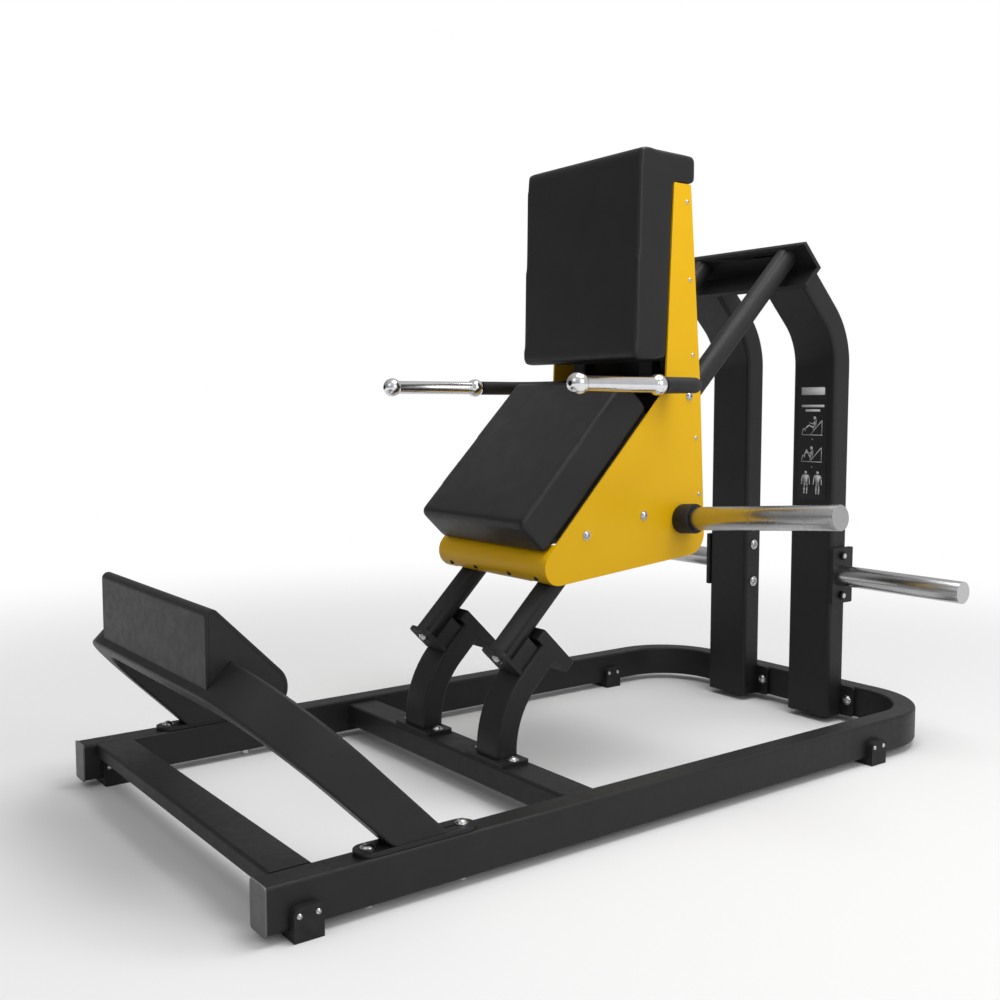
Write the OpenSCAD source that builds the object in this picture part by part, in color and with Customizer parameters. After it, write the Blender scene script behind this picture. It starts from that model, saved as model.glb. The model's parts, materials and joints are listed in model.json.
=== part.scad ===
// Hack squat machine: a weight carriage that slides on two 45 degree guide rods,
// carried by a welded tube base with a foot plate in front and two bent posts behind.
// Frame: +X to the user's side with the instruction placard, +Y from the foot plate
// towards the posts, +Z up. The origin is on the floor under the middle of the machine.

/* [Base] */
// Overall length of the base, front caps to rear tube
base_l = 1730; // [1700:1:1760]
// Overall width of the base across its two rails
base_w = 910; // [900:1:920]
// Width of the rail tube
rail_w = 50; // [48:1:52]
// Height of the rail tube
rail_h = 75; // [72:1:76]
// Height of the rail's underside above the floor
rail_z = 15; // [14:1:18]
// Centreline radius of the two rear corners
bow_r = 160; // [150:1:170]
// Wall of the frame tubes
wall = 3; // [2.5:0.1:3.5]
// Outside corner radius of the frame tubes
tube_r = 6; // [5:0.5:7]

/* [Guide rods] */
// Sideways distance from the middle to each rod
rod_x = 135; // [133:0.5:137]
// Radius of the guide rods
rod_r = 25; // [24.5:0.1:25]
// Height of the rod axis over the 45 degree line through the origin
rod_d = 347.4; // [347:0.1:348]
// Where the rods start, measured up the slope
rod_s0 = 58; // [56:1:60]
// Where the rods end, measured up the slope
rod_s1 = 1257; // [1255:1:1259]
// Running clearance between rod and bush, on the radius
rod_gap = 0.05; // [0.02:0.01:0.09]

/* [Posts] */
// Width of the post tube across the machine
post_w = 125; // [122:1:127]
// Depth of the post tube
post_t = 60; // [57:1:60]
// Height at which the posts start to bend forward
post_bend_z = 879.8; // [877:0.1:882]
// Centreline radius of the post bend
post_bend_r = 170; // [168:1:172]

/* [Arch and foot plate] */
// Tube size of the arch in its own plane
arch_w = 50; // [48:1:50]
// Tube size of the arch across its plane
arch_t = 75; // [74:0.5:75.5]
// Outside width of the arch
arch_out_w = 900; // [896:1:904]
// Outside corner radius of the arch
arch_r = 200; // [196:1:204]
// Outer face of the arch's top tube, across the slope
arch_d = 852; // [848:1:856]
// Width of the foot plate
foot_w = 504; // [496:1:510]
// Thickness of the foot plate's steel
foot_t = 6; // [5:0.5:7]

/* [Carriage] */
// Outside width over the carriage's side panels
car_w = 380; // [378:1:382]
// Thickness of the side panels
panel_t = 5; // [4:0.5:5.5]
// Slope of the seat and of the panels' front edge
seat_angle = 46.4; // [46:0.1:46.8]
// Thickness of the seat pad
seat_t = 94; // [88:1:96]
// Length of the seat pad
seat_l = 388; // [380:1:390]
// Width of the seat pad
seat_w = 362; // [356:1:366]
// Width of the back pad
back_w = 381; // [376:1:382]

/* [Weight horns] */
// Radius of the weight horns
horn_r = 25; // [24:0.1:25.2]
// Length of the carriage's horns outside its panels
horn_l = 413.5; // [405:0.5:415]
// Upward tilt of the carriage's horns
horn_tilt = 4.83; // [4:0.01:5.5]
// Sideways distance from the middle to the end of the storage horns
store_x = 531.7; // [525:0.1:535]

/* [Handles] */
// Height of the handles above the floor
handle_z = 825; // [823:1:826]
// Radius of the handle tube
handle_r = 16; // [15:0.5:16]
// Outward splay of the handle arms
handle_splay = 4.6; // [4:0.1:5]

/* [Hidden] */
$fn = 48;
eps = 0.01;
big = 3000;
rail_x = base_w / 2 - rail_w / 2;
rail_top = rail_z + rail_h;
front_y = -base_l / 2;
rear_y = base_l / 2;
bow_x = rail_x - bow_r;
bow_y = rear_y - rail_w / 2 - bow_r;
cap_t = 3;

// cross tubes of the base
front_cross_y = -799.5;
front_cross_h = 30;
cross_w = 75;
mid_cross_y = -211;
mid_cross_h = 50;
mid_cross_top = 80;

// rubber feet
foot_len = 50;
foot_side = 14;
foot_tab_z = 53;
foot_ys = [-800.5, 582];
foot_screw_dy = 15.5;
foot_screw_z = 40;

// bolts: shank radius and washer sizes of the large and the small ones
bolt_r = 6;
bolt_gap = 0.3;
washer_r = 12.5;
washer_t = 2;
head_r = 10.5;
head_h = 6.5;
small_r = 4;
small_head_r = 6.5;
small_head_h = 4.5;

// arch: its tube lies between these two places on the slope
arch_s0 = -386.8;
arch_s1 = arch_s0 + arch_t;
arch_s = (arch_s0 + arch_s1) / 2;
arch_cx = arch_out_w / 2 - arch_r;
arch_cd = arch_d - arch_r;
arch_mid_r = arch_r - arch_w / 2;
plate_t = 8;
arch_plate_x = 428;
arch_bolt_ys = [-678, -500];

// foot plate outline, on the slope: pushing face, upper bend and lower lobe
push_s = -268.7;
push_front_y = -864;
push_bend_r = 12;
lobe_r = push_s - arch_s1;
lobe_d = 773;

// pedestals under the lower rod ends
ped_w = 75;
ped_t = 50;
ped_y = -212;
ped_base_z = mid_cross_top + plate_t;
ped_bend_z = 98;
ped_bend_r = 200;
ped_bend_y = ped_y + ped_bend_r;
ped_d = (ped_bend_z - ped_bend_y) / sqrt(2) + ped_bend_r;
ped_s0 = (ped_bend_y + ped_bend_z) / sqrt(2);
ped_head_s = [127, 153];
ped_head_d = [212, 321];
ped_plate = [134, 65];
ped_bolt_dx = 54;

// lower rod brackets
brk_t = 8;
brk_w = 74;
brk_d = [ped_d + ped_t / 2, rod_d + 26];
saddle_w = 60;
saddle_l = 60;
saddle_top = 338;

// posts, flanges and the angle that ties them together
post_r = 9;
post_y = rear_y - rail_w - post_t / 2;
post_bend_y = post_y - post_bend_r;
post_d0 = (post_bend_z - post_bend_y) / sqrt(2);
gantry_d = 297;
gantry_t = 10;
gantry_w = 406;
gantry_s0 = 1197;
gantry_top = 377;
flange_w = 200;
flange_bolt_dx = 82;
flange_bolt_z = 56;

// placard on the right post
placard = [85, 280];
placard_z = 693;
placard_t = 1;

// storage horns and their brackets
store_y = 786;
store_z = 368;
store_t = 10;
store_plate = [76, 137];
store_plate_y = 790;
store_bolt_zs = [319, 417];
post_out_x = rod_x + post_w / 2;
post_in_x = rod_x - post_w / 2;

// stops on the rods
stop_s = [285, 305];
bump_s = [305, 329.5];
stop_r = 33;
stop_clear_r = 36;

// carriage: sleeves, bushes and cross rails, on the slope
sleeve_r = 38;
sleeve_bore = 30;
sleeve_s = [330, 750];
bush_l = 50;
weld_gap = 0.1;
rail_sq = 40;
seat_rail_pos = [350.3, 386.2];
lower_rail_pos = [484.9, 296.1];
back_rail_pos = [755.9, 381.3];
inner_w = car_w - 2 * panel_t;

// side panel outline in y and z, with the radius of each corner
panel_pts = [[-191.1, 414.8, 37], [319.5, 461.8, 45], [300, 810, 60],
    [262, 1252, 4], [212, 1252, 4], [194.7, 820, 8]];
panel_bolt_at = [[-25.4, 520.8], [133.5, 552.2], [264.9, 804.1]];
panel_screw_at = [[251, 1215], [263, 1052], [275, 892], [288, 713], [300, 590]];
roll_at = [-96.4, 460.6];
roll_r = 37;
sheet_t = 3;
bottom_angle = 5.26;
sheet_screw_xs = [-150, -60, 60, 150];
sheet_screw_a = 220;

// seat: lower end of the panels' slanted edge
seat_at = [-120.8, 488.6];
board_t = 12;
seat_pad_r = 14;

// back: top of the slanted edge and the lean of the upper edge
back_at = [194.7, 820];
back_lean = 2.293;
upright_x = 110;
back_pts = [[104, 875, 14], [116, 1311, 16], [268, 1307, 14], [268, 1252.5, 5],
    [211.5, 1252.5, 0.5], [196.7, 882, 14]];

// cross tube that carries the weight horns
horn_y = 248.5;
horn_z = 538.7;
horn_tube_r = 30;
horn_root_r = 24;
collar_r = 32;
collar_l = 42;
gusset_t = 8;

// handle: bend, arm and grip
handle_y = 190;
handle_bend_r = 45;
handle_cross = 257.3;
handle_turn = 90 - handle_splay;
arm_at = [handle_cross + handle_bend_r * cos(handle_splay),
    handle_y - handle_bend_r * (1 - sin(handle_splay))];
arm_l = 97;
grip_l = 220.8;
grip_r = 15;
ball_r = 21;

// ---- outlines -------------------------------------------------------------

// Outline of [x, y, radius] corners, each rounded with a short arc
function unit(v) = v / norm(v);
function corner(a, b, c, n) =
    let (p = [b.x, b.y], u = unit([a.x, a.y] - p), w = unit([c.x, c.y] - p))
    b.z == 0 ? [p] :
    let (half = acos(u * w) / 2, m = p + unit(u + w) * b.z / sin(half))
    let (p0 = p + u * b.z / tan(half), p1 = p + w * b.z / tan(half))
    let (a0 = atan2(p0.y - m.y, p0.x - m.x), a1 = atan2(p1.y - m.y, p1.x - m.x))
    let (turn = (a1 - a0 + 540) % 360 - 180)
    [for (i = [0:n]) m + b.z * [cos(a0 + turn * i / n), sin(a0 + turn * i / n)]];
function rounded(pts, n = 8) =
    [for (i = [0:len(pts) - 1]) each corner(pts[(i + len(pts) - 1) % len(pts)], pts[i],
        pts[(i + 1) % len(pts)], n)];

module round_rect(x, y, r) {
    square([x - 2 * r, y], center = true);
    square([x, y - 2 * r], center = true);
    for (i = [-1, 1], j = [-1, 1])
        translate([i * (x / 2 - r), j * (y / 2 - r)]) circle(r = r);
}

module tube_outline(x, y, r = tube_r, t = wall) {
    difference() {
        round_rect(x, y, r);
        round_rect(x - 2 * t, y - 2 * t, r - t);
    }
}

module ring(r, t) {
    difference() {
        circle(r = r);
        circle(r = r - t);
    }
}

// ---- places ---------------------------------------------------------------

// The slope: local Y runs up the rods, local Z stands square to them
module slope() {
    rotate([45, 0, 0]) children();
}

// Extrude an outline along +X (outline x to Y, y to Z), centred or from 0
module along_x(l, mid = true) {
    translate([mid ? -l / 2 : 0, 0, 0]) rotate([90, 0, 90]) linear_extrude(l) children();
}

// Extrude an outline along +Y
module along_y(l) {
    rotate([-90, 0, 0]) linear_extrude(l) children();
}

module both_sides() {
    children();
    mirror([1, 0, 0]) children();
}

module at_side(side) {
    if (side > 0) children();
    else mirror([1, 0, 0]) children();
}

// Seat frame: local Y up the seat, local Z out of its top face
module seat_frame() {
    translate([0, seat_at.x, seat_at.y]) rotate([seat_angle, 0, 0]) children();
}

// Back frame: local Z up the panels' upper front edge, local Y to the rear
module back_frame() {
    translate([0, back_at.x, back_at.y]) rotate([-back_lean, 0, 0]) children();
}

module rod_line(r, s0, s1) {
    slope() translate([rod_x, s0, rod_d]) rotate([-90, 0, 0]) cylinder(r = r, h = s1 - s0);
}

// ---- fasteners ------------------------------------------------------------

// Domed head with a hex socket, standing on z = 0
module button_head(r, h) {
    dome_r = (r * r + h * h) / (2 * h);
    difference() {
        rotate_extrude() intersection() {
            translate([0, h - dome_r]) circle(r = dome_r, $fn = 96);
            square([r, h]);
        }
        translate([0, 0, h * 0.45]) cylinder(r = r * 0.42, h = h, $fn = 6);
    }
}

// Large bolt with washer: the clamped face is z = 0 and the shank goes down
module bolt(l) {
    cylinder(r = washer_r, h = washer_t);
    translate([0, 0, washer_t]) button_head(head_r, head_h);
    translate([0, 0, -l]) cylinder(r = bolt_r, h = l + washer_t);
}

module nut() {
    cylinder(r = washer_r, h = washer_t);
    cylinder(r = head_r, h = 10, $fn = 6);
}

// Small screw: head on z = 0, shank down
module screw(l, r = small_r, head = small_head_r, h = small_head_h) {
    button_head(head, h);
    translate([0, 0, -l]) cylinder(r = r, h = l + eps);
}

module bolt_hole(l, r = bolt_r + bolt_gap) {
    translate([0, 0, -l]) cylinder(r = r, h = l + 1);
}

// ---- base -----------------------------------------------------------------

module foot_screw_places() {
    for (fy = foot_ys, dy = [-foot_screw_dy, foot_screw_dy], side = [-1, 1])
        translate([rail_x + side * (rail_w / 2 + foot_side), fy + dy, foot_screw_z])
            rotate([0, side * 90, 0]) children();
}

module arch_bolt_places() {
    for (y = arch_bolt_ys)
        translate([arch_plate_x, y, rail_top + plate_t]) children();
}

module side_rail(side) {
    color("#26272a") at_side(side) difference() {
        translate([rail_x, front_y + cap_t, rail_z + rail_h / 2])
            along_y(bow_y - front_y - cap_t) tube_outline(rail_w, rail_h);
        foot_screw_places() bolt_hole(foot_side + 8, 2.8);
        arch_bolt_places() bolt_hole(rail_h + plate_t + 2);
    }
}

module side_rail_left() {
    side_rail(-1);
}

module side_rail_right() {
    side_rail(1);
}

module flange_bolt_places() {
    for (dx = [-flange_bolt_dx, flange_bolt_dx])
        translate([rod_x + dx, rear_y - rail_w - plate_t, flange_bolt_z])
            rotate([90, 0, 0]) children();
}

module rear_bow() {
    z = rail_z + rail_h / 2;
    color("#26272a") difference() {
        union() {
            translate([0, rear_y - rail_w / 2, z])
                along_x(2 * bow_x) tube_outline(rail_w, rail_h);
            both_sides() translate([bow_x, bow_y, z])
                rotate_extrude(angle = 90) translate([bow_r, 0]) tube_outline(rail_w, rail_h);
        }
        both_sides() flange_bolt_places() bolt_hole(plate_t + 10);
    }
}

module front_cross_tube() {
    color("#26272a") translate([0, front_cross_y, rail_top - front_cross_h / 2])
        along_x(2 * rail_x - rail_w) tube_outline(cross_w, front_cross_h);
}

module pedestal_bolt_places() {
    for (dx = [-ped_bolt_dx, ped_bolt_dx])
        translate([rod_x + dx, ped_y, ped_base_z]) children();
}

module mid_cross_tube() {
    color("#26272a") difference() {
        translate([0, mid_cross_y, mid_cross_top - mid_cross_h / 2])
            along_x(2 * rail_x - rail_w) tube_outline(cross_w, mid_cross_h);
        both_sides() pedestal_bolt_places() bolt_hole(plate_t + 10);
    }
}

module rail_end_caps() {
    lip = 1;
    plug_l = 25;
    color("#8b8d90") both_sides() translate([rail_x, front_y, rail_z + rail_h / 2]) {
        along_y(cap_t) round_rect(rail_w + 2 * lip, rail_h + 2 * lip, tube_r);
        along_y(cap_t + plug_l)
            tube_outline(rail_w - 2 * wall, rail_h - 2 * wall, tube_r - wall, 2);
    }
}

module rubber_feet() {
    outer_w = rail_w + 2 * foot_side;
    color("#17181a") both_sides() for (fy = foot_ys) difference() {
        translate([rail_x, fy, 0]) along_x(outer_w)
            polygon(rounded([[-foot_len / 2, 0, 1], [foot_len / 2, 0, 1],
                [foot_len / 2, foot_tab_z, 11], [-foot_len / 2, foot_tab_z, 11]]));
        translate([rail_x - rail_w / 2, fy - foot_len, rail_z])
            cube([rail_w, 2 * foot_len, foot_tab_z]);
        foot_screw_places() bolt_hole(foot_side + 1, 3.2);
    }
}

module foot_screws() {
    color("#b9bcc0") both_sides() foot_screw_places() screw(foot_side + 6, 2.6, 4.8, 3.2);
}

// ---- arch and foot plate --------------------------------------------------

module arch_frame() {
    color("#232427") difference() {
        slope() {
            translate([0, arch_s, arch_d - arch_w / 2])
                along_x(2 * arch_cx) tube_outline(arch_t, arch_w);
            both_sides() translate([arch_cx, arch_s, arch_cd]) {
                rotate([90, 0, 0]) rotate_extrude(angle = 90)
                    translate([arch_mid_r, 0]) tube_outline(arch_w, arch_t);
                translate([arch_mid_r, 0, -300])
                    linear_extrude(300) tube_outline(arch_w, arch_t);
            }
        }
        translate([-big / 2, -big / 2, rail_top + plate_t - big])
            cube([big, big, big]);
    }
}

module arch_base_plates() {
    half_w = 24;
    l = arch_bolt_ys[1] - arch_bolt_ys[0];
    color("#232427") both_sides() difference() {
        translate([arch_plate_x, arch_bolt_ys[0], rail_top]) linear_extrude(plate_t) {
            translate([-half_w, 0]) square([2 * half_w, l]);
            for (y = [0, l]) translate([0, y]) circle(r = half_w);
        }
        arch_bolt_places() bolt_hole(plate_t + 1);
    }
}

module arch_bolts() {
    color("#b9bcc0") both_sides() arch_bolt_places() {
        bolt(rail_h + plate_t + 11);
        translate([0, 0, -rail_h - plate_t]) mirror([0, 0, 1]) nut();
    }
}

// Section of the foot plate on the slope, shrunk by t on its outer faces
module foot_section(t) {
    front = (push_front_y + t) * sqrt(2);
    face = push_s - t;
    low = lobe_d - lobe_r + t;
    polygon(rounded([[front + arch_d, arch_d, 0], [face, face - front, push_bend_r - t],
        [face, low, lobe_r - t - 1], [arch_s1, low, 0], [arch_s1, arch_d, 0]], 12));
}

module foot_plate() {
    color("#2b2c2f") slope() along_x(foot_w) difference() {
        foot_section(0);
        foot_section(foot_t);
    }
}

module foot_plate_sides() {
    color("#2b2c2f") both_sides() slope() translate([foot_w / 2 - foot_t, 0, 0])
        along_x(foot_t, false) foot_section(foot_t);
}

// ---- pedestals and rod brackets -------------------------------------------

module pedestal(side) {
    top_l = ped_head_s[0] - ped_s0;
    head_w = ped_head_d[1] - ped_head_d[0];
    head_at = ped_bend_r - ped_d + (ped_head_d[0] + ped_head_d[1]) / 2;
    color("#232427") at_side(side)
        translate([rod_x, ped_bend_y, ped_bend_z]) rotate([90, 0, 90]) {
            translate([-ped_bend_r, 0, 0]) rotate([90, 0, 0])
                linear_extrude(ped_bend_z - ped_base_z) tube_outline(ped_t, ped_w);
            rotate([0, 0, 135]) {
                rotate_extrude(angle = 45) translate([ped_bend_r, 0]) tube_outline(ped_t, ped_w);
                translate([ped_bend_r, 0, 0]) rotate([90, 0, 0])
                    linear_extrude(top_l) tube_outline(ped_t, ped_w);
                translate([head_at, -top_l, 0]) rotate([90, 0, 0])
                    linear_extrude(ped_head_s[1] - ped_head_s[0]) round_rect(head_w, ped_w, 4);
            }
        }
}

module pedestal_left() {
    pedestal(-1);
}

module pedestal_right() {
    pedestal(1);
}

module pedestal_base_plates() {
    color("#232427") both_sides() difference() {
        translate([rod_x, ped_y, mid_cross_top])
            linear_extrude(plate_t) round_rect(ped_plate.x, ped_plate.y, 8);
        pedestal_bolt_places() bolt_hole(plate_t + 1);
    }
}

module pedestal_bolts() {
    color("#b9bcc0") both_sides() pedestal_bolt_places() bolt(plate_t + 8);
}

module rod_bracket(side) {
    h = brk_d[1] - brk_d[0];
    color("#1d1e20") at_side(side) difference() {
        slope() translate([rod_x, 0, 0]) {
            translate([0, rod_s0, brk_d[0] + h / 2]) rotate([90, 0, 0]) linear_extrude(brk_t)
                polygon(rounded([[-brk_w / 2, -h / 2, 3], [brk_w / 2, -h / 2, 3],
                    [brk_w / 2, h / 2, 16], [-brk_w / 2, h / 2, 16]]));
            translate([-saddle_w / 2, rod_s0, brk_d[0]])
                cube([saddle_w, saddle_l, saddle_top - brk_d[0]]);
        }
        rod_line(rod_r + weld_gap, rod_s0, rod_s1);
        rod_line(bolt_r + bolt_gap, 0, rod_s0 + 1);
    }
}

module rod_bracket_left() {
    rod_bracket(-1);
}

module rod_bracket_right() {
    rod_bracket(1);
}

module rod_lower_bolts() {
    color("#b9bcc0") both_sides() slope()
        translate([rod_x, rod_s0 - brk_t, rod_d]) rotate([90, 0, 0]) bolt(brk_t + 30);
}

module guide_rod(side) {
    tap_l = 34;
    color("#303134") at_side(side) difference() {
        rod_line(rod_r, rod_s0, rod_s1);
        rod_line(bolt_r + bolt_gap, rod_s0 - 1, rod_s0 + tap_l);
        rod_line(bolt_r + bolt_gap, rod_s1 - tap_l, rod_s1 + 1);
    }
}

module guide_rod_left() {
    guide_rod(-1);
}

module guide_rod_right() {
    guide_rod(1);
}

module stop_collars() {
    color("#303134") both_sides() difference() {
        rod_line(stop_r, stop_s[0], stop_s[1]);
        rod_line(rod_r + weld_gap, 0, rod_s1);
    }
}

module stop_bumpers() {
    color("#17181a") both_sides() difference() {
        rod_line(stop_r, bump_s[0], bump_s[1]);
        rod_line(rod_r + weld_gap, 0, rod_s1);
    }
}

// ---- posts ----------------------------------------------------------------

module store_bolt_places(x) {
    for (z = store_bolt_zs)
        translate([x, store_y, z]) rotate([0, 90, 0]) children();
}

module post(side) {
    color("#232427") at_side(side) difference() {
        translate([rod_x, post_bend_y, post_bend_z]) rotate([90, 0, 90]) {
            translate([post_bend_r, 0, 0]) rotate([90, 0, 0])
                linear_extrude(post_bend_z - rail_z) tube_outline(post_t, post_w, post_r);
            rotate_extrude(angle = 45) translate([post_bend_r, 0]) tube_outline(post_t, post_w, post_r);
            rotate([0, 0, 45]) translate([post_bend_r, 0, 0]) rotate([-90, 0, 0])
                linear_extrude(gantry_d - post_d0) tube_outline(post_t, post_w, post_r);
        }
        store_bolt_places(post_out_x) bolt_hole(post_w + 1);
    }
}

module post_left() {
    post(-1);
}

module post_right() {
    post(1);
}

// Ears welded to both sides of a post's foot
module post_flanges() {
    color("#232427") both_sides() difference() {
        translate([rod_x, rear_y - rail_w, rail_z + rail_h / 2]) rotate([90, 0, 0])
            linear_extrude(plate_t) difference() {
                round_rect(flange_w, rail_h, 8);
                square([post_w, 2 * rail_h], center = true);
            }
        flange_bolt_places() bolt_hole(plate_t + 1);
    }
}

module post_flange_bolts() {
    color("#b9bcc0") both_sides() flange_bolt_places() bolt(plate_t + 8);
}

module gantry_angle() {
    color("#1d1e20") difference() {
        slope() translate([0, 0, gantry_d]) along_x(gantry_w)
            polygon([[gantry_s0, 0], [rod_s1 + gantry_t, 0],
                [rod_s1 + gantry_t, gantry_top - gantry_d], [rod_s1, gantry_top - gantry_d],
                [rod_s1, gantry_t], [gantry_s0, gantry_t]]);
        both_sides() rod_line(bolt_r + bolt_gap, rod_s1 - 1, rod_s1 + gantry_t + 1);
    }
}

module rod_top_bolts() {
    color("#b9bcc0") both_sides() slope()
        translate([rod_x, rod_s1 + gantry_t, rod_d]) rotate([-90, 0, 0]) bolt(gantry_t + 22);
}

module storage_brackets() {
    color("#1d1e20") both_sides() difference() {
        translate([post_out_x, store_plate_y, store_z])
            along_x(store_t, false) round_rect(store_plate.x, store_plate.y, 3);
        store_bolt_places(post_out_x + store_t) bolt_hole(store_t + 1);
    }
}

module storage_bolts() {
    color("#b9bcc0") both_sides() store_bolt_places(post_in_x)
        mirror([0, 0, 1]) bolt(post_w + store_t + 9);
}

module storage_nuts() {
    color("#3a3b3d") both_sides() store_bolt_places(post_out_x + store_t)
        difference() {
            cylinder(r = head_r, h = 7, $fn = 6);
            translate([0, 0, -1]) cylinder(r = bolt_r + 0.1, h = 9);
        }
}

module storage_horn(side) {
    x0 = post_out_x + store_t;
    l = store_x - x0;
    color("#c3c5c8") at_side(side)
        translate([x0, store_y, store_z]) rotate([0, 90, 0]) difference() {
            cylinder(r = horn_r, h = l);
            translate([0, 0, -1]) cylinder(r = horn_r - 4, h = l - 5);
        }
}

module storage_horn_left() {
    storage_horn(-1);
}

module storage_horn_right() {
    storage_horn(1);
}

module placard() {
    color("#1b1c1f") translate([rod_x, post_y - post_t / 2, placard_z])
        rotate([90, 0, 0]) linear_extrude(placard_t) round_rect(placard.x, placard.y, 5);
}

// ---- carriage -------------------------------------------------------------

module slide_sleeve(side) {
    color("#303134") at_side(side) difference() {
        rod_line(sleeve_r, sleeve_s[0], sleeve_s[1]);
        rod_line(sleeve_bore, sleeve_s[0] - 1, sleeve_s[1] + 1);
    }
}

module slide_sleeve_left() {
    slide_sleeve(-1);
}

module slide_sleeve_right() {
    slide_sleeve(1);
}

module guide_bushes() {
    color("#d8cfae") both_sides() for (s = [sleeve_s[0], sleeve_s[1] - bush_l]) difference() {
        rod_line(sleeve_bore - 0.02, s, s + bush_l);
        rod_line(rod_r + rod_gap, s - 1, s + bush_l + 1);
    }
}

module panel_bolt_places() {
    for (p = panel_bolt_at)
        translate([car_w / 2, p.x, p.y]) rotate([0, 90, 0]) children();
}

// Square tube between the panels, saddle-cut to both sleeves and tapped at both ends
module cross_rail(at) {
    end_t = 5;
    color("#303134") difference() {
        slope() translate([0, at.x, at.y]) {
            along_x(inner_w) tube_outline(rail_sq, rail_sq, 4);
            both_sides() translate([inner_w / 2 - end_t, 0, 0])
                along_x(end_t, false) round_rect(rail_sq, rail_sq, 4);
        }
        both_sides() rod_line(sleeve_r + weld_gap, 0, rod_s1);
        both_sides() panel_bolt_places() bolt_hole(panel_t + end_t + 1, 5.2);
    }
}

module seat_cross_rail() {
    cross_rail(seat_rail_pos);
}

module lower_cross_rail() {
    cross_rail(lower_rail_pos);
}

module back_cross_rail() {
    cross_rail(back_rail_pos);
}

module horn_cross_tube() {
    color("#303134") translate([0, horn_y, horn_z])
        along_x(inner_w) ring(horn_tube_r, 4);
}

module horn_gussets() {
    s = (horn_y + horn_z) / sqrt(2);
    d = (horn_z - horn_y) / sqrt(2);
    top_d = rod_d - sleeve_r + 2;
    color("#303134") both_sides() difference() {
        slope() translate([rod_x, 0, 0]) along_x(gusset_t)
            polygon([[510, top_d], [640, top_d], [s + 34, d], [s - 34, d]]);
        rod_line(sleeve_r + weld_gap, 0, rod_s1);
        translate([0, horn_y, horn_z]) along_x(inner_w) circle(r = horn_tube_r + weld_gap);
    }
}

module back_uprights() {
    depth = 30;
    width = 40;
    color("#303134") both_sides() difference() {
        union() {
            back_frame() translate([upright_x, board_t + depth / 2, -15])
                linear_extrude(440) tube_outline(width, depth, 4);
            translate([upright_x - width / 2, 225, 812]) cube([width, 45, 45]);
        }
        slope() translate([0, back_rail_pos.x, back_rail_pos.y])
            along_x(inner_w) round_rect(rail_sq, rail_sq, 4);
        rod_line(sleeve_r + 2, 0, rod_s1);
    }
}

module seat_board() {
    color("#b99a6b") seat_frame() translate([0, (seat_l + 44) / 2, -board_t])
        linear_extrude(board_t) round_rect(inner_w - 1, seat_l - 48, 6);
}

module back_board() {
    color("#b99a6b") back_frame() translate([0, board_t, 240])
        rotate([90, 0, 0]) linear_extrude(board_t) round_rect(inner_w - 1, 360, 6);
}

module seat_pad() {
    color("#1c1d1f") seat_frame() along_x(seat_w)
        polygon(rounded([[0, 0.2, seat_pad_r], [seat_l, 0.2, seat_pad_r],
            [seat_l, seat_t, seat_pad_r], [0, seat_t, seat_pad_r]]));
}

module back_pad() {
    color("#1c1d1f") along_x(back_w) polygon(rounded(back_pts));
}

module panel_screw_places() {
    for (p = panel_screw_at)
        translate([car_w / 2, p.x, p.y]) rotate([0, 90, 0]) children();
}

module side_panel(side) {
    color("#e5b726") at_side(side) difference() {
        translate([inner_w / 2, 0, 0]) along_x(panel_t, false) polygon(rounded(panel_pts));
        panel_bolt_places() bolt_hole(panel_t + 1, 5.2);
        panel_screw_places() bolt_hole(panel_t + 1, 2.9);
        translate([0, handle_y, handle_z]) along_x(big) circle(r = handle_r + bolt_gap);
        translate([0, horn_y, horn_z]) along_x(big) circle(r = horn_r + 2);
    }
}

module side_panel_left() {
    side_panel(-1);
}

module side_panel_right() {
    side_panel(1);
}

// One skin of the rolled sheet: down the seat's edge, round the roll and to the rear
function roll_skin(r, n = 16) =
    let (a0 = 90 + seat_angle, a1 = 270 + bottom_angle)
    [r * [cos(a0), sin(a0)] + 28 * [cos(seat_angle), sin(seat_angle)],
        for (i = [0:n]) let (a = a0 + (a1 - a0) * i / n) r * [cos(a), sin(a)],
        r * [cos(a1), sin(a1)] + 14 * [cos(bottom_angle), sin(bottom_angle)]];
function reversed(v) = [for (i = [len(v) - 1:-1:0]) v[i]];

// Rolled sheet across the carriage's lower front edge
module front_sheet() {
    color("#e5b726") difference() {
        translate([0, roll_at.x, roll_at.y]) along_x(inner_w)
            polygon(concat(roll_skin(roll_r), reversed(roll_skin(roll_r - sheet_t))));
        both_sides() rod_line(stop_clear_r, 0, rod_s1);
        sheet_screw_places() bolt_hole(sheet_t + 2, small_r * 0.8);
    }
}

module sheet_screw_places() {
    for (x = sheet_screw_xs)
        translate([x, roll_at.x, roll_at.y]) rotate([sheet_screw_a - 90, 0, 0])
            translate([0, 0, roll_r]) children();
}

module rear_cover() {
    low = 506;
    color("#26272a") difference() {
        along_x(inner_w) polygon([[317, low], [300, 810], [262, 1252], [262 - sheet_t, 1252],
            [300 - sheet_t, 810], [317 - sheet_t, low]]);
        both_sides() rod_line(sleeve_r + 2, 0, rod_s1);
    }
}

module panel_bolts() {
    color("#b9bcc0") both_sides() panel_bolt_places() {
        cylinder(r = 10, h = 1.5);
        translate([0, 0, 1.5]) screw(panel_t + 14, 5, 8, 5);
    }
}

module panel_screws() {
    color("#8f8a78") both_sides() panel_screw_places() screw(panel_t + 6, 2.6, 4.6, 2.6);
}

module sheet_screws() {
    color("#3a3b3d") sheet_screw_places() screw(sheet_t + 5, 3, 6, 3.5);
}

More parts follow.
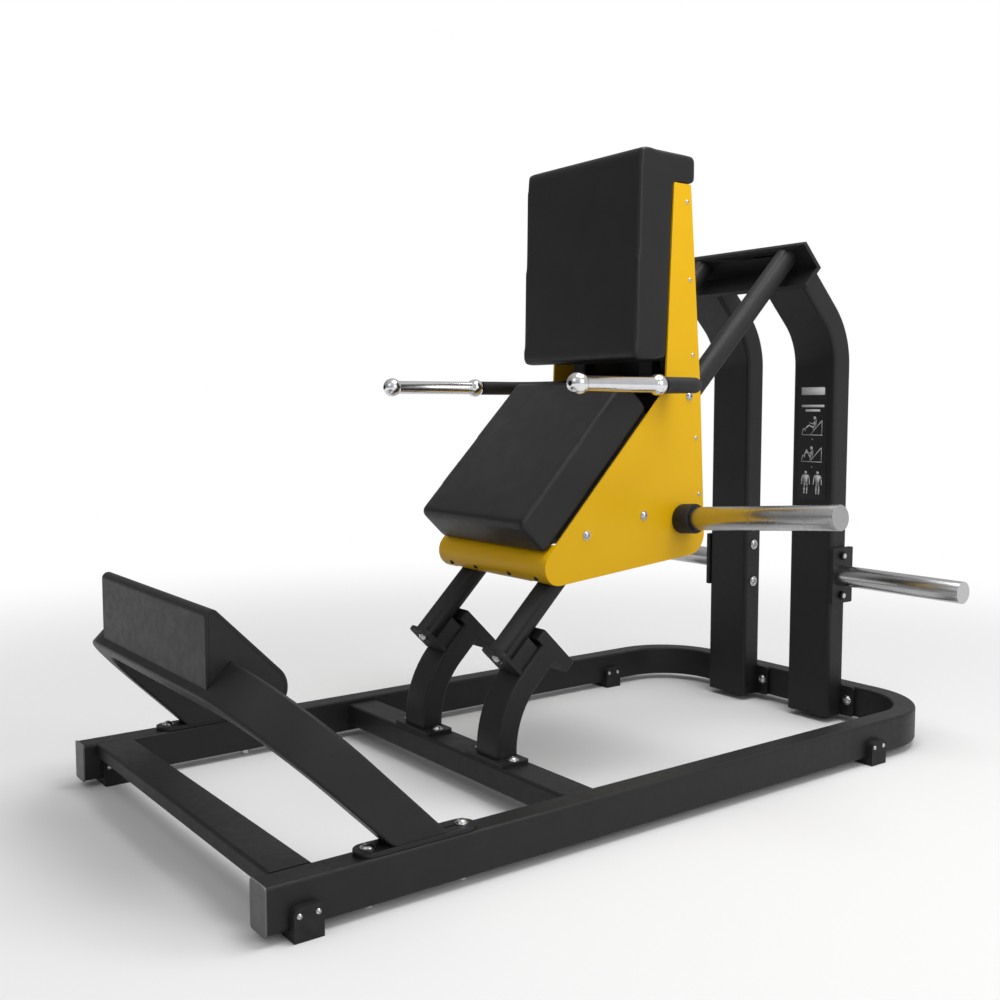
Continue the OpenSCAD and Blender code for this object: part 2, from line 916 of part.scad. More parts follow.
module handle_bar() {
    color("#1b1c1e") translate([0, handle_y, handle_z]) {
        along_x(2 * handle_cross) ring(handle_r, 3);
        both_sides() {
            translate([handle_cross, -handle_bend_r, 0]) rotate([0, 0, 90]) mirror([0, 1, 0]) {
                rotate_extrude(angle = handle_turn)
                    translate([handle_bend_r, 0]) ring(handle_r, 3);
                rotate([0, 0, handle_turn]) translate([handle_bend_r, 0, 0]) rotate([-90, 0, 0])
                    linear_extrude(arm_l - ball_r + 3) ring(handle_r, 3);
            }
        }
    }
}

module handle_grips() {
    color("#cfd1d4") both_sides() translate([arm_at.x, arm_at.y, handle_z])
        rotate([90, 0, handle_splay]) translate([0, 0, arm_l]) difference() {
            union() {
                sphere(r = ball_r);
                cylinder(r = grip_r, h = grip_l);
                translate([0, 0, grip_l]) sphere(r = ball_r);
            }
            translate([0, 0, grip_l + ball_r - 8]) cylinder(r = 5, h = 10);
            translate([0, 0, -ball_r - 1]) cylinder(r = handle_r + weld_gap, h = 4);
        }
}

module horn_place() {
    translate([car_w / 2, horn_y, horn_z]) rotate([0, 90 - horn_tilt, 0]) children();
}

module outside_panel(x) {
    intersection() {
        children();
        translate([x, -big / 2, -big / 2]) cube([big, big, big]);
    }
}

module horn_collars() {
    color("#141517") both_sides() outside_panel(car_w / 2) horn_place()
        translate([0, 0, -10]) difference() {
            cylinder(r = collar_r, h = collar_l + 10);
            translate([0, 0, -1]) cylinder(r = horn_root_r + weld_gap, h = collar_l + 12);
        }
}

// The root inside the collar and the panel is 1 mm smaller in radius
module carriage_horns() {
    root = 20;
    color("#c3c5c8") both_sides() outside_panel(inner_w / 2) horn_place() difference() {
        union() {
            translate([0, 0, collar_l]) cylinder(r = horn_r, h = horn_l - collar_l);
            translate([0, 0, -root]) cylinder(r = horn_root_r, h = collar_l + 2 * root);
        }
        translate([0, 0, -root - 1]) cylinder(r = horn_r - 5, h = horn_l + root - 4);
    }
}

side_rail_left();
side_rail_right();
rear_bow();
front_cross_tube();
mid_cross_tube();
rail_end_caps();
rubber_feet();
foot_screws();
arch_frame();
arch_base_plates();
arch_bolts();
foot_plate();
foot_plate_sides();
pedestal_left();
pedestal_right();
pedestal_base_plates();
pedestal_bolts();
rod_bracket_left();
rod_bracket_right();
rod_lower_bolts();
guide_rod_left();
guide_rod_right();
stop_collars();
stop_bumpers();
post_left();
post_right();
post_flanges();
post_flange_bolts();
gantry_angle();
rod_top_bolts();
storage_brackets();
storage_bolts();
storage_nuts();
storage_horn_left();
storage_horn_right();
placard();
slide_sleeve_left();
slide_sleeve_right();
guide_bushes();
seat_cross_rail();
lower_cross_rail();
back_cross_rail();
horn_cross_tube();
horn_gussets();
back_uprights();
seat_board();
back_board();
seat_pad();
back_pad();
side_panel_left();
side_panel_right();
front_sheet();
rear_cover();
panel_bolts();
panel_screws();
sheet_screws();
handle_bar();
handle_grips();
horn_collars();
carriage_horns();
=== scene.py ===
"""Looks of the hack squat machine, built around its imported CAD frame."""
import bmesh
import bpy
import json
import math
import numpy as np
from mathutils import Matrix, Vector


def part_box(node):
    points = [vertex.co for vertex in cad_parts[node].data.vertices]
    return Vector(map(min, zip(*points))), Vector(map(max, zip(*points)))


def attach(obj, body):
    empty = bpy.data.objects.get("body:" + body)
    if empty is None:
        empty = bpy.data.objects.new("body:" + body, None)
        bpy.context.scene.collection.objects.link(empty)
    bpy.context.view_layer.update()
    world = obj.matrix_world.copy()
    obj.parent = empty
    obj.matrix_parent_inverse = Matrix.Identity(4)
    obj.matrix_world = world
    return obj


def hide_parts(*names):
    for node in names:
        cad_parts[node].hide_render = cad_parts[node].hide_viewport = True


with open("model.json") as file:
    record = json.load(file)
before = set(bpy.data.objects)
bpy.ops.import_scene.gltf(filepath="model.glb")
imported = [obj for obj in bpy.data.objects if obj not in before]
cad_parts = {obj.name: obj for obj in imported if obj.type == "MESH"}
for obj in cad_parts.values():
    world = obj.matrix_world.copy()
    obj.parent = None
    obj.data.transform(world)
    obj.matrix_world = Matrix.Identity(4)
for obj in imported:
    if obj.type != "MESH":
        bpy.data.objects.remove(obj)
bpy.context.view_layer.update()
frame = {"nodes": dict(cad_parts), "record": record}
scene = bpy.context.scene
nodes = frame["nodes"]
CARRIAGE = "carriage"
BASE = "base"


# ---- camera, floor and light ----------------------------------------------

CAMERA_AT = Vector((1.9403, -1.5439, 0.7881))
CAMERA_AZIMUTH = 53.41
CAMERA_DOWN = 4.82
CAMERA_LENS = 41.18


def make_camera():
    """Camera at the viewing angle, without shift or depth of field."""
    data = bpy.data.cameras.new("camera")
    data.lens = CAMERA_LENS
    data.sensor_width = 36
    data.clip_end = 100
    camera = bpy.data.objects.new("camera", data)
    scene.collection.objects.link(camera)
    a, e = math.radians(CAMERA_AZIMUTH), math.radians(CAMERA_DOWN)
    look = Vector((-math.sin(a) * math.cos(e), math.cos(a) * math.cos(e), -math.sin(e)))
    camera.location = CAMERA_AT
    camera.rotation_mode = "QUATERNION"
    camera.rotation_quaternion = look.to_track_quat("-Z", "Y")
    scene.camera = camera


def area_light(name, at, aim, size, power):
    """Soft square light at a place, aimed at a point."""
    data = bpy.data.lights.new(name, "AREA")
    data.shape = "SQUARE"
    data.size = size
    data.energy = power
    light = bpy.data.objects.new(name, data)
    scene.collection.objects.link(light)
    light.location = at
    light.rotation_mode = "QUATERNION"
    light.rotation_quaternion = (Vector(aim) - Vector(at)).to_track_quat("-Z", "Y")


ROOM_TOWARDS = (0.45, 0.42, 0.79)
ROOM_FACING = (-0.85, 0.95)
ROOM_LEVEL = (0.15, 0.62)


def make_room():
    """White backdrop; the light it gives grows towards one upper corner."""
    world = bpy.data.worlds.new("studio")
    scene.world = world
    world.use_nodes = True
    tree = world.node_tree
    tree.nodes.clear()
    out = tree.nodes.new("ShaderNodeOutputWorld")
    mix = tree.nodes.new("ShaderNodeMixShader")
    ray = tree.nodes.new("ShaderNodeLightPath")
    backdrop = tree.nodes.new("ShaderNodeBackground")
    backdrop.inputs["Color"].default_value = (1, 1, 1, 1)
    lit = tree.nodes.new("ShaderNodeBackground")
    place = tree.nodes.new("ShaderNodeTexCoord")
    dot = tree.nodes.new("ShaderNodeVectorMath")
    dot.operation = "DOT_PRODUCT"
    dot.inputs[1].default_value = ROOM_TOWARDS
    level = tree.nodes.new("ShaderNodeMapRange")
    level.interpolation_type = "SMOOTHSTEP"
    level.inputs["From Min"].default_value = ROOM_FACING[0]
    level.inputs["From Max"].default_value = ROOM_FACING[1]
    level.inputs["To Min"].default_value = ROOM_LEVEL[0]
    level.inputs["To Max"].default_value = ROOM_LEVEL[1]
    link = tree.links.new
    link(place.outputs["Generated"], dot.inputs[0])
    link(dot.outputs["Value"], level.inputs["Value"])
    link(level.outputs["Result"], lit.inputs["Color"])
    link(ray.outputs["Is Camera Ray"], mix.inputs["Fac"])
    link(lit.outputs[0], mix.inputs[1])
    link(backdrop.outputs[0], mix.inputs[2])
    link(mix.outputs[0], out.inputs["Surface"])


# name, place, aim, size in metres and power in watts
LIGHTS = (("top", (0.7, 0.5, 3.4), (0, 0, 0.3), 2.0, 62),
          ("front", (0.6, -3.0, 2.6), (0, 0, 0.6), 1.8, 9),
          ("side", (3.6, 0.2, 2.0), (0, 0, 0.6), 1.8, 27))


def make_lights():
    """Soft lights above the machine, in front of it and beside its panels."""
    for light in LIGHTS:
        area_light(*light)
    scene.view_settings.view_transform = "Standard"


FLOOR_RADIUS = 14
FLOOR_NEAR = 0.9
FLOOR_FAR = 3.4
FLOOR_SEEN = 0.86
FLOOR_BOUNCE = 0.20


def make_floor():
    """Round pale floor, dull to bounced light, that fades to plain white further out."""
    bm = bmesh.new()
    bmesh.ops.create_circle(bm, cap_ends=True, segments=96, radius=FLOOR_RADIUS)
    mesh = bpy.data.meshes.new("floor")
    bm.to_mesh(mesh)
    bm.free()
    floor = bpy.data.objects.new("floor", mesh)
    scene.collection.objects.link(floor)
    material = bpy.data.materials.new("floor")
    material.use_nodes = True
    tree = material.node_tree
    tree.nodes.clear()
    out = tree.nodes.new("ShaderNodeOutputMaterial")
    near = tree.nodes.new("ShaderNodeBsdfDiffuse")
    near.inputs["Color"].default_value = (FLOOR_SEEN, FLOOR_SEEN, FLOOR_SEEN, 1)
    dull = tree.nodes.new("ShaderNodeBsdfDiffuse")
    dull.inputs["Color"].default_value = (FLOOR_BOUNCE, FLOOR_BOUNCE, FLOOR_BOUNCE, 1)
    ray = tree.nodes.new("ShaderNodeLightPath")
    bounce = tree.nodes.new("ShaderNodeMixShader")
    far = tree.nodes.new("ShaderNodeEmission")
    mix = tree.nodes.new("ShaderNodeMixShader")
    place = tree.nodes.new("ShaderNodeTexCoord")
    length = tree.nodes.new("ShaderNodeVectorMath")
    length.operation = "LENGTH"
    fade = tree.nodes.new("ShaderNodeMapRange")
    fade.interpolation_type = "SMOOTHSTEP"
    fade.inputs["From Min"].default_value = FLOOR_NEAR
    fade.inputs["From Max"].default_value = FLOOR_FAR
    link = tree.links.new
    link(place.outputs["Object"], length.inputs[0])
    link(length.outputs["Value"], fade.inputs["Value"])
    link(fade.outputs["Result"], mix.inputs["Fac"])
    link(ray.outputs["Is Diffuse Ray"], bounce.inputs["Fac"])
    link(near.outputs[0], bounce.inputs[1])
    link(dull.outputs[0], bounce.inputs[2])
    link(bounce.outputs[0], mix.inputs[1])
    link(far.outputs[0], mix.inputs[2])
    link(mix.outputs[0], out.inputs["Surface"])
    mesh.materials.append(material)


# ---- materials ------------------------------------------------------------

MIDDLE = (0.35, 0.65)


class Surface:
    """A principled material with helpers for procedural detail in metres."""

    def __init__(self, name, metallic=0.0, roughness=0.5, specular=0.5, coat=0.0):
        self.material = bpy.data.materials.new(name)
        self.material.use_nodes = True
        self.tree = self.material.node_tree
        self.shader = self.tree.nodes["Principled BSDF"]
        self.shader.inputs["Metallic"].default_value = metallic
        self.shader.inputs["Roughness"].default_value = roughness
        self.shader.inputs["Specular IOR Level"].default_value = specular
        self.shader.inputs["Coat Weight"].default_value = coat
        self.place = self.tree.nodes.new("ShaderNodeTexCoord")

    def noise(self, scale, detail=3.0, stretch=(1, 1, 1)):
        """Noise over the object's own coordinates; scale is per metre."""
        mapping = self.tree.nodes.new("ShaderNodeMapping")
        mapping.inputs["Scale"].default_value = stretch
        texture = self.tree.nodes.new("ShaderNodeTexNoise")
        texture.inputs["Scale"].default_value = scale
        texture.inputs["Detail"].default_value = detail
        self.tree.links.new(self.place.outputs["Object"], mapping.inputs["Vector"])
        self.tree.links.new(mapping.outputs["Vector"], texture.inputs["Vector"])
        return texture.outputs["Fac"]

    def cells(self, scale, smooth):
        """Smooth Voronoi cells for leather grain."""
        texture = self.tree.nodes.new("ShaderNodeTexVoronoi")
        texture.inputs["Scale"].default_value = scale
        texture.feature = "SMOOTH_F1"
        texture.inputs["Smoothness"].default_value = smooth
        self.tree.links.new(self.place.outputs["Object"], texture.inputs["Vector"])
        return texture.outputs["Distance"]

    def spread(self, value, low, high):
        """Map a texture's middle range onto low to high."""
        node = self.tree.nodes.new("ShaderNodeMapRange")
        node.inputs["From Min"].default_value = MIDDLE[0]
        node.inputs["From Max"].default_value = MIDDLE[1]
        node.inputs["To Min"].default_value = low
        node.inputs["To Max"].default_value = high
        self.tree.links.new(value, node.inputs["Value"])
        return node.outputs["Result"]

    def colours(self, value, first, second):
        """Base colour that wanders between two colours."""
        ramp = self.tree.nodes.new("ShaderNodeValToRGB")
        ramp.color_ramp.elements[0].position = MIDDLE[0]
        ramp.color_ramp.elements[0].color = (*first, 1)
        ramp.color_ramp.elements[1].position = MIDDLE[1]
        ramp.color_ramp.elements[1].color = (*second, 1)
        self.tree.links.new(value, ramp.inputs["Fac"])
        self.tree.links.new(ramp.outputs["Color"], self.shader.inputs["Base Color"])

    def rough(self, value, low, high):
        """Roughness that wanders between two values."""
        self.tree.links.new(self.spread(value, low, high), self.shader.inputs["Roughness"])

    def bump(self, value, depth, after=None):
        """Bump of a real depth in metres; a second one sits on the first."""
        node = self.tree.nodes.new("ShaderNodeBump")
        node.inputs["Distance"].default_value = depth
        node.inputs["Strength"].default_value = 1.0
        self.tree.links.new(value, node.inputs["Height"])
        if after is not None:
            self.tree.links.new(after.outputs["Normal"], node.inputs["Normal"])
        self.tree.links.new(node.outputs["Normal"], self.shader.inputs["Normal"])
        return node


def powder_coat(name, dark, light, rough_low, rough_high):
    """Satin powder coat with a fine pebbled skin."""
    s = Surface(name, roughness=0.5, specular=0.32)
    s.colours(s.noise(14, 2), dark, light)
    s.rough(s.noise(70, 2), rough_low, rough_high)
    first = s.bump(s.noise(480, 2), 0.00005)
    s.bump(s.noise(1600, 1), 0.00002, first)
    return s.material


def yellow_paint():
    """Satin yellow paint with a slight orange peel."""
    s = Surface("yellow_paint", roughness=0.38, specular=0.22)
    s.colours(s.noise(5, 3), (0.86, 0.485, 0.002), (0.89, 0.51, 0.003))
    s.rough(s.noise(40, 3), 0.34, 0.42)
    s.bump(s.noise(260, 2), 0.00004)
    return s.material


def vinyl():
    """Black upholstery vinyl with a fine pressed grain."""
    s = Surface("black_vinyl", roughness=0.42, specular=0.33)
    s.colours(s.noise(7, 3), (0.0115, 0.0115, 0.012), (0.0135, 0.0135, 0.014))
    s.rough(s.noise(30, 3), 0.38, 0.46)
    first = s.bump(s.cells(700, 0.4), 0.00012)
    s.bump(s.noise(160, 2), 0.00006, first)
    return s.material


def steel(name, dark, light, rough_low, rough_high, stretch=(1, 1, 1), depth=0.000004):
    """Bright steel, turned or drawn along one direction."""
    s = Surface(name, metallic=1.0, roughness=0.3)
    s.colours(s.noise(40, 3, stretch), dark, light)
    s.rough(s.noise(120, 3, stretch), rough_low, rough_high)
    s.bump(s.noise(700, 2, stretch), depth)
    return s.material


def plain(name, dark, light, rough_low, rough_high, grain=700, depth=0.00006, specular=0.4):
    """Moulded plastic or rubber with a fine grain."""
    s = Surface(name, roughness=0.6, specular=specular)
    s.colours(s.noise(25, 3), dark, light)
    s.rough(s.noise(60, 3), rough_low, rough_high)
    s.bump(s.noise(grain, 2), depth)
    return s.material


def plywood():
    """Boards coloured nearly black all over, with the wood's long grain."""
    s = Surface("plywood", roughness=0.65, specular=0.3)
    grain = s.noise(14, 6, (9, 1, 1))
    s.colours(grain, (0.016, 0.013, 0.011), (0.026, 0.021, 0.017))
    s.bump(grain, 0.00025)
    return s.material


def grey(low, high):
    """Two neutral colours for a material's small variation."""
    return (low, low, low * 1.02), (high, high, high * 1.02)


TURNED = (1, 0.02, 0.02)
FRAME_BLACK = powder_coat("frame_black", *grey(0.0125, 0.0150), 0.46, 0.52)
ROD_BLACK = powder_coat("rod_black", *grey(0.018, 0.021), 0.54, 0.60)
YELLOW = yellow_paint()
VINYL = vinyl()
HORN_STEEL = steel("horn_steel", *grey(0.51, 0.53), 0.255, 0.275, TURNED, 0.0000008)
CHROME = steel("chrome", *grey(0.74, 0.77), 0.17, 0.20, depth=0.000002)
ZINC = steel("zinc", *grey(0.48, 0.58), 0.22, 0.32)
BLACK_OXIDE = steel("black_oxide", *grey(0.03, 0.05), 0.35, 0.5)
SOCKET_BLACK = plain("socket_black", *grey(0.004, 0.006), 0.6, 0.8)
PRINT_WHITE = plain("print_white", *grey(0.60, 0.68), 0.45, 0.55, depth=0.00001)
PRINT_RED = plain("print_red", (0.42, 0.03, 0.03), (0.50, 0.04, 0.04), 0.45, 0.55, depth=0.00001)
SLOT_LOOKS = {
    "frame_powder_coat": FRAME_BLACK,
    "panel_paint": YELLOW,
    "upholstery": VINYL,
    "bare_steel": HORN_STEEL,
    "chrome": CHROME,
    "zinc_fasteners": ZINC,
    "dark_fasteners": BLACK_OXIDE,
    "rubber": plain("black_rubber", *grey(0.010, 0.014), 0.6, 0.75),
    "cap_plastic": plain("grey_plastic", *grey(0.145, 0.165), 0.42, 0.52),
    "placard_print": plain("placard_black", *grey(0.012, 0.015), 0.38, 0.44, depth=0.00001),
    "bush_nylon": plain("nylon", (0.70, 0.64, 0.48), (0.76, 0.70, 0.54), 0.45, 0.55),
    "plywood": plywood(),
}
NODE_LOOKS = {"guide_rod_left": ROD_BLACK, "guide_rod_right": ROD_BLACK,
              "handle_bar": ROD_BLACK}

WELD_DISTANCE = 0.00002
EDGE_ANGLE = math.radians(40)

# softened edges of the CAD nodes, in metres
EDGE = {"side_panel_left": 0.0012, "side_panel_right": 0.0012, "front_sheet": 0.0006,
        "foot_plate": 0.001, "foot_plate_sides": 0.001, "gantry_angle": 0.001,
        "arch_base_plates": 0.001, "pedestal_base_plates": 0.001, "post_flanges": 0.001,
        "storage_brackets": 0.001, "rod_bracket_left": 0.001, "rod_bracket_right": 0.001,
        "storage_horn_left": 0.002, "storage_horn_right": 0.002, "carriage_horns": 0.002,
        "rail_end_caps": 0.0014, "rubber_feet": 0.0018, "horn_collars": 0.0025,
        "handle_grips": 0.0008, "placard": 0.0004, "stop_collars": 0.001,
        "pedestal_left": 0.0008, "pedestal_right": 0.0008}


def dress_cad_nodes():
    """Give each CAD node its material, merged corners and softened edges."""
    slots = {row["node"]: row["material_slot"] for row in frame["record"]["subparts"]}
    for name, node in nodes.items():
        node.data.materials.clear()
        node.data.materials.append(NODE_LOOKS.get(name, SLOT_LOOKS[slots[name]]))
        weld = node.modifiers.new("weld", "WELD")
        weld.merge_threshold = WELD_DISTANCE
        if name in EDGE:
            bevel = node.modifiers.new("edge", "BEVEL")
            bevel.width = EDGE[name]
            bevel.segments = 2
            bevel.limit_method = "ANGLE"
            bevel.angle_limit = EDGE_ANGLE


# ---- cushions -------------------------------------------------------------

SEAT_ANGLE = math.radians(46.4)
SEAT_UP = Vector((0, -math.sin(SEAT_ANGLE), math.cos(SEAT_ANGLE)))
BACK_FRONT = Vector((0, -1, 0.04)).normalized()
VOXEL = 0.005
PRESSURE = 4
SIM_FRAMES = 20
SPREAD_ROUNDS = 60
EDGE_ROUNDS = 14
CROWN = 0.0035

# how far the covers stand proud at their free ends, and over what distance
SEAT_PROUD_HIGH = 0.009
SEAT_PROUD_LOW = 0.003
BACK_PROUD_TOP = 0.006
BACK_PROUD_REAR = 0.008
END_RUN = 0.12
LAP_RUN = 0.01

# heights above the board between which a cushion starts to swell
FLAT_TO = 0.004
FULL_FROM = 0.03


def new_object(name, mesh, material):
    """Object with one material, smooth shaded."""
    mesh.materials.clear()
    mesh.materials.append(material)
    mesh.shade_smooth()
    piece = bpy.data.objects.new(name, mesh)
    scene.collection.objects.link(piece)
    return piece


def bake(piece):
    """Turn a piece's modifiers into its mesh."""
    graph = bpy.context.evaluated_depsgraph_get()
    mesh = bpy.data.meshes.new_from_object(piece.evaluated_get(graph))
    piece.modifiers.clear()
    piece.data = mesh


def places_of(mesh):
    """Vertex places as an array."""
    places = np.empty(len(mesh.vertices) * 3)
    mesh.vertices.foreach_get("co", places)
    return places.reshape(-1, 3)


def spread_out(mesh, values):
    """Average a value over each vertex's neighbours, many times."""
    ends = np.empty(len(mesh.edges) * 2, dtype=np.int64)
    mesh.edges.foreach_get("vertices", ends)
    a, b = ends[0::2], ends[1::2]
    count = len(values)
    near = np.bincount(a, minlength=count) + np.bincount(b, minlength=count)
    for _ in range(SPREAD_ROUNDS):
        total = (np.bincount(a, values[b], count) + np.bincount(b, values[a], count))
        values = 0.5 * values + 0.5 * total / near
    return values


def inflate(piece):
    """Swell a closed mesh with cloth pressure; returns where its vertices go."""
    cloth = piece.modifiers.new("cloth", "CLOTH")
    cloth.settings.use_pressure = True
    cloth.settings.uniform_pressure_force = PRESSURE
    cloth.settings.effector_weights.gravity = 0
    cloth.settings.bending_stiffness = 2
    cloth.collision_settings.use_collision = False
    cloth.point_cache.frame_end = SIM_FRAMES
    for step in range(1, SIM_FRAMES + 1):
        scene.frame_set(step)
    graph = bpy.context.evaluated_depsgraph_get()
    places = places_of(piece.evaluated_get(graph).to_mesh())
    piece.modifiers.remove(cloth)
    scene.frame_set(1)
    return places


def cushion(name, node, reach, firm):
    """Padded cover round a CAD cushion: softened edges and a crown of real height.

    reach gives how far a place moves before the cloth swells, and firm how much
    of the swelling it takes."""
    bm = bmesh.new()
    bm.from_mesh(nodes[node].data)
    bmesh.ops.remove_doubles(bm, verts=bm.verts, dist=WELD_DISTANCE)
    mesh = bpy.data.meshes.new(name)
    bm.to_mesh(mesh)
    bm.free()
    piece = new_object(name, mesh, VINYL)
    remesh = piece.modifiers.new("remesh", "REMESH")
    remesh.mode = "VOXEL"
    remesh.voxel_size = VOXEL
    smooth = piece.modifiers.new("smooth", "SMOOTH")
    smooth.factor = 0.5
    smooth.iterations = EDGE_ROUNDS
    bake(piece)
    mesh = piece.data
    for v in mesh.vertices:
        v.co += reach(v.co)
    mesh.update()
    start = places_of(mesh)
    normals = np.array([v.normal[:] for v in mesh.vertices])
    swell = np.maximum(((inflate(piece) - start) * normals).sum(axis=1), 0)
    swell = spread_out(mesh, swell)
    swell *= CROWN / swell.max() * np.array([firm(Vector(at)) for at in start])
    mesh.vertices.foreach_set("co", (start + normals * swell[:, None]).ravel())
    mesh.update()
    subdivide = piece.modifiers.new("subdivide", "SUBSURF")
    subdivide.levels = 1
    bake(piece)
    piece.data.shade_smooth()
    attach(piece, CARRIAGE)
    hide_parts(node)


def ramp(value, low, high):
    """Smooth step from 0 at low to 1 at high."""
    t = min(max((value - low) / (high - low), 0), 1)
    return t * t * (3 - 2 * t)


def make_cushions():
    """Seat and back cushions; both stay flat where they rest on their boards."""
    along = SEAT_UP.cross(Vector((1, 0, 0)))
    seat = [v.co for v in nodes["seat_pad"].data.vertices]
    seat_rest = min(at.dot(SEAT_UP) for at in seat)
    low, high = min(at.dot(along) for at in seat), max(at.dot(along) for at in seat)

    def seat_reach(at):
        """The cover's ends stand a little proud of the board's."""
        place = at.dot(along)
        return along * (SEAT_PROUD_HIGH * ramp(place, high - END_RUN, high)
                        - SEAT_PROUD_LOW * ramp(-place, -low - END_RUN, -low))

    cushion("seat_cushion", "seat_pad", seat_reach,
            lambda at: ramp(at.dot(SEAT_UP) - seat_rest, FLAT_TO, FULL_FROM))
    board = max(v.co.dot(BACK_FRONT) for v in nodes["back_board"].data.vertices)
    panel_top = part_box("side_panel_right")[1][2]
    rear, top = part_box("back_pad")[1][1:]

    def back_reach(at):
        """Taller at the top, and deeper where it laps over the panels."""
        return Vector((0, BACK_PROUD_REAR * ramp(at.y, rear - END_RUN / 2, rear)
                       * ramp(at.z, panel_top, panel_top + LAP_RUN),
                       BACK_PROUD_TOP * ramp(at.z, top - END_RUN / 2, top)))

    cushion("back_cushion", "back_pad", back_reach,
            lambda at: max(ramp(at.dot(BACK_FRONT) - board, FLAT_TO, FULL_FROM),
                           ramp(at.z, panel_top + 0.008, panel_top + 0.03)))


# ---- placard print --------------------------------------------------------

STROKE = 1.5
PRINT_DEPTH = 0.0002


class Print:
    """Flat marks on the placard, drawn in millimetres from its upper left corner."""

    def __init__(self):
        self.low, self.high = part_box("placard")
        self.bm = bmesh.new()

    def point(self, u, v):
        """A place u to the right of and v below the placard's upper left corner."""
        return Vector((self.low[0] + u / 1000, self.low[1] - PRINT_DEPTH,
                       self.high[2] - v / 1000))

    def shape(self, points, material=0):
        """Filled outline."""
        face = self.bm.faces.new([self.bm.verts.new(self.point(*p)) for p in points])
        face.material_index = material

    def disc(self, u, v, r, material=0, sides=20):
        self.shape([(u + r * math.cos(2 * math.pi * i / sides),
                     v + r * math.sin(2 * math.pi * i / sides)) for i in range(sides)], material)

    def line(self, points, width=STROKE, material=0):
        """Line with round joints and ends."""
        for (u0, v0), (u1, v1) in zip(points, points[1:]):
            run = math.hypot(u1 - u0, v1 - v0)
            nu, nv = (v0 - v1) / run * width / 2, (u1 - u0) / run * width / 2
            self.shape([(u0 + nu, v0 + nv), (u1 + nu, v1 + nv),
                        (u1 - nu, v1 - nv), (u0 - nu, v0 - nv)], material)
        for u, v in points:
            self.disc(u, v, width / 2, material, 10)

    def bar(self, u, v, wide, high, r=2):
        """Bar with rounded corners, centred on u."""
        corners = [(u + wide / 2 - r, v + high - r, 0), (u - wide / 2 + r, v + high - r, 90),
                   (u - wide / 2 + r, v + r, 180), (u + wide / 2 - r, v + r, 270)]
        self.shape([(cu + r * math.cos(math.radians(a + k * 22.5)),
                     cv + r * math.sin(math.radians(a + k * 22.5)))
                    for cu, cv, a in corners for k in range(5)])


def draw_exercise(marks, u, v, crouch):
    """A generic figure on an inclined sled; crouch moves it down the slope."""
    du, dv = -8 * crouch, 8 * crouch
    marks.line([(u - 30, v + 22), (u + 32, v + 22)])
    marks.line([(u - 4, v + 22), (u + 30, v - 14)])
    marks.line([(u + 30, v - 14), (u + 30, v + 22)])
    marks.line([(u - 30, v + 22), (u - 26, v + 6), (u - 19, v + 12)])
    hip, shoulder = (u + 5 + du, v + 4 + dv), (u + 9 + du, v - 12 + dv)
    knee = (u - 9 + du * 0.7, v - 2 - 4 * crouch)
    marks.line([shoulder, hip, knee, (u - 22, v + 8)], 3.2)
    marks.line([shoulder, (u + 1 + du, v - 5 + dv), (u - 7 + du, v - 8 + dv)], 2.2)
    marks.line([(u + 13 + du, v - 15 + dv), (u + 11 + du, v + 6 + dv), (u + 3 + du, v + 9 + dv)])
    marks.disc(u + 8 + du, v - 19.5 + dv, 4.2)


def draw_figure(marks, u, v, red):
    """A generic standing figure with the worked muscles marked."""
    marks.disc(u, v - 25, 4)
    marks.line([(u - 8, v - 18), (u + 8, v - 18)], 3)
    marks.shape([(u - 8, v - 18), (u + 8, v - 18), (u + 5, v + 1), (u - 5, v + 1)])
    for side in (-1, 1):
        marks.line([(u + side * 9, v - 17), (u + side * 11.5, v - 7), (u + side * 12, v + 3)], 3)
        marks.line([(u + side * 3.4, v + 1), (u + side * 4.2, v + 13), (u + side * 4, v + 26)], 4)
        low, high = red
        marks.line([(u + side * 3.6, v + low), (u + side * 4.2, v + high)], 2.4, 1)


def make_print():
    """Header bar, two plain lines, two exercise drawings and two figures."""
    marks = Print()
    middle = (marks.high[0] - marks.low[0]) * 500
    marks.bar(middle, 5, 70, 19)
    marks.bar(middle, 48, 68, 6, 1.5)
    marks.bar(middle, 59, 44, 6, 1.5)
    draw_exercise(marks, middle - 2, 100, 0)
    marks.disc(middle, 133, 1.4)
    draw_exercise(marks, middle - 2, 166, 1)
    marks.disc(middle, 201, 1.4)
    draw_figure(marks, middle - 18, 240, (4, 12))
    draw_figure(marks, middle + 18, 240, (-1, 9))
    mesh = bpy.data.meshes.new("placard_marks")
    marks.bm.to_mesh(mesh)
    marks.bm.free()
    piece = new_object("placard_marks", mesh, PRINT_WHITE)
    mesh.materials.append(PRINT_RED)
    thick = piece.modifiers.new("thick", "SOLIDIFY")
    thick.thickness = PRINT_DEPTH
    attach(piece, BASE)


# ---- key sockets in the grips ---------------------------------------------

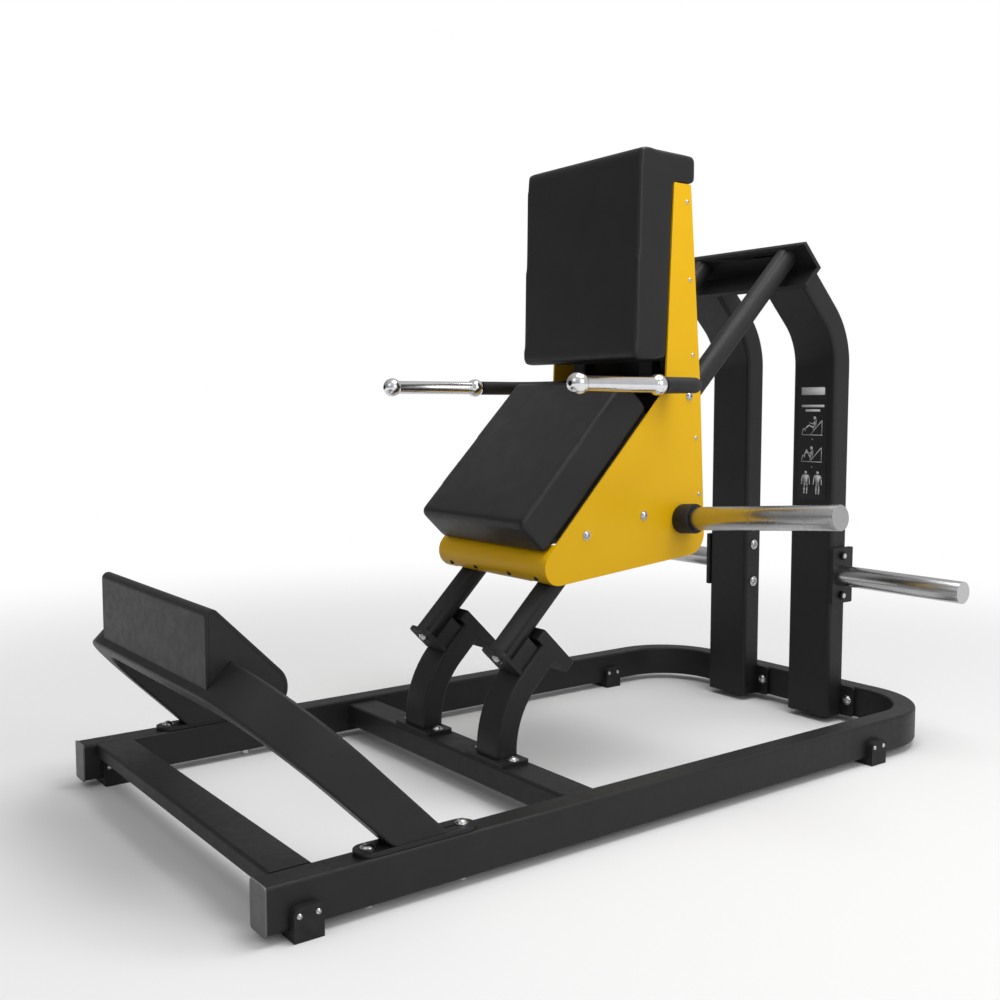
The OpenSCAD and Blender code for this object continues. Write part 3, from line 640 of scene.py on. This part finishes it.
BALL_R = 0.021
SOCKET_R = 0.0048
SOCKET_DEPTH = 0.00624
SOCKET_BACK = 0.0009
SOCKET_SIDES = 24
RECESS = 0.7


def ball_centre(points, front):
    """Centre of the ball at a grip's front or rear end."""
    end = min(p.y for p in points) if front else max(p.y for p in points)
    near = [p for p in points if abs(p.y - end) < BALL_R * 1.2]
    xs, zs = [p.x for p in near], [p.z for p in near]
    y = end + BALL_R if front else end - BALL_R
    return Vector(((min(xs) + max(xs)) / 2, y, (min(zs) + max(zs)) / 2))


def make_sockets():
    """Black cups with a six sided recess in the grips' front ends."""
    bm = bmesh.new()
    for side in (-1, 1):
        points = [v.co for v in nodes["handle_grips"].data.vertices if v.co.x * side > 0]
        front, rear = ball_centre(points, True), ball_centre(points, False)
        out = (front - rear).normalized()
        across = out.cross(Vector((0, 0, 1))).normalized()
        up = across.cross(out)
        mouth = front + out * (BALL_R - SOCKET_BACK)
        rim = SOCKET_R * 0.86, 0.0004
        # radius, depth and whether the row is six sided
        rows = [(SOCKET_R, 0, 0), (*rim, 0), (SOCKET_R * RECESS, rim[1], 1),
                (SOCKET_R * RECESS, SOCKET_DEPTH, 1)]
        loops = []
        for radius, depth, six in rows:
            loop = []
            for i in range(SOCKET_SIDES):
                a = 2 * math.pi * i / SOCKET_SIDES
                r = radius * (math.cos(math.pi / 6) / math.cos(a % (math.pi / 3) - math.pi / 6)
                              if six else 1)
                loop.append(bm.verts.new(mouth - out * depth
                                         + (across * math.cos(a) + up * math.sin(a)) * r))
            loops.append(loop)
        for a, b in zip(loops, loops[1:]):
            for i in range(SOCKET_SIDES):
                j = (i + 1) % SOCKET_SIDES
                bm.faces.new((a[i], a[j], b[j], b[i]))
        bm.faces.new(loops[-1])
    mesh = bpy.data.meshes.new("grip_sockets")
    bm.to_mesh(mesh)
    bm.free()
    piece = new_object("grip_sockets", mesh, SOCKET_BLACK)
    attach(piece, CARRIAGE)


make_camera()
make_room()
make_lights()
make_floor()
make_cushions()
dress_cad_nodes()
make_print()
make_sockets()
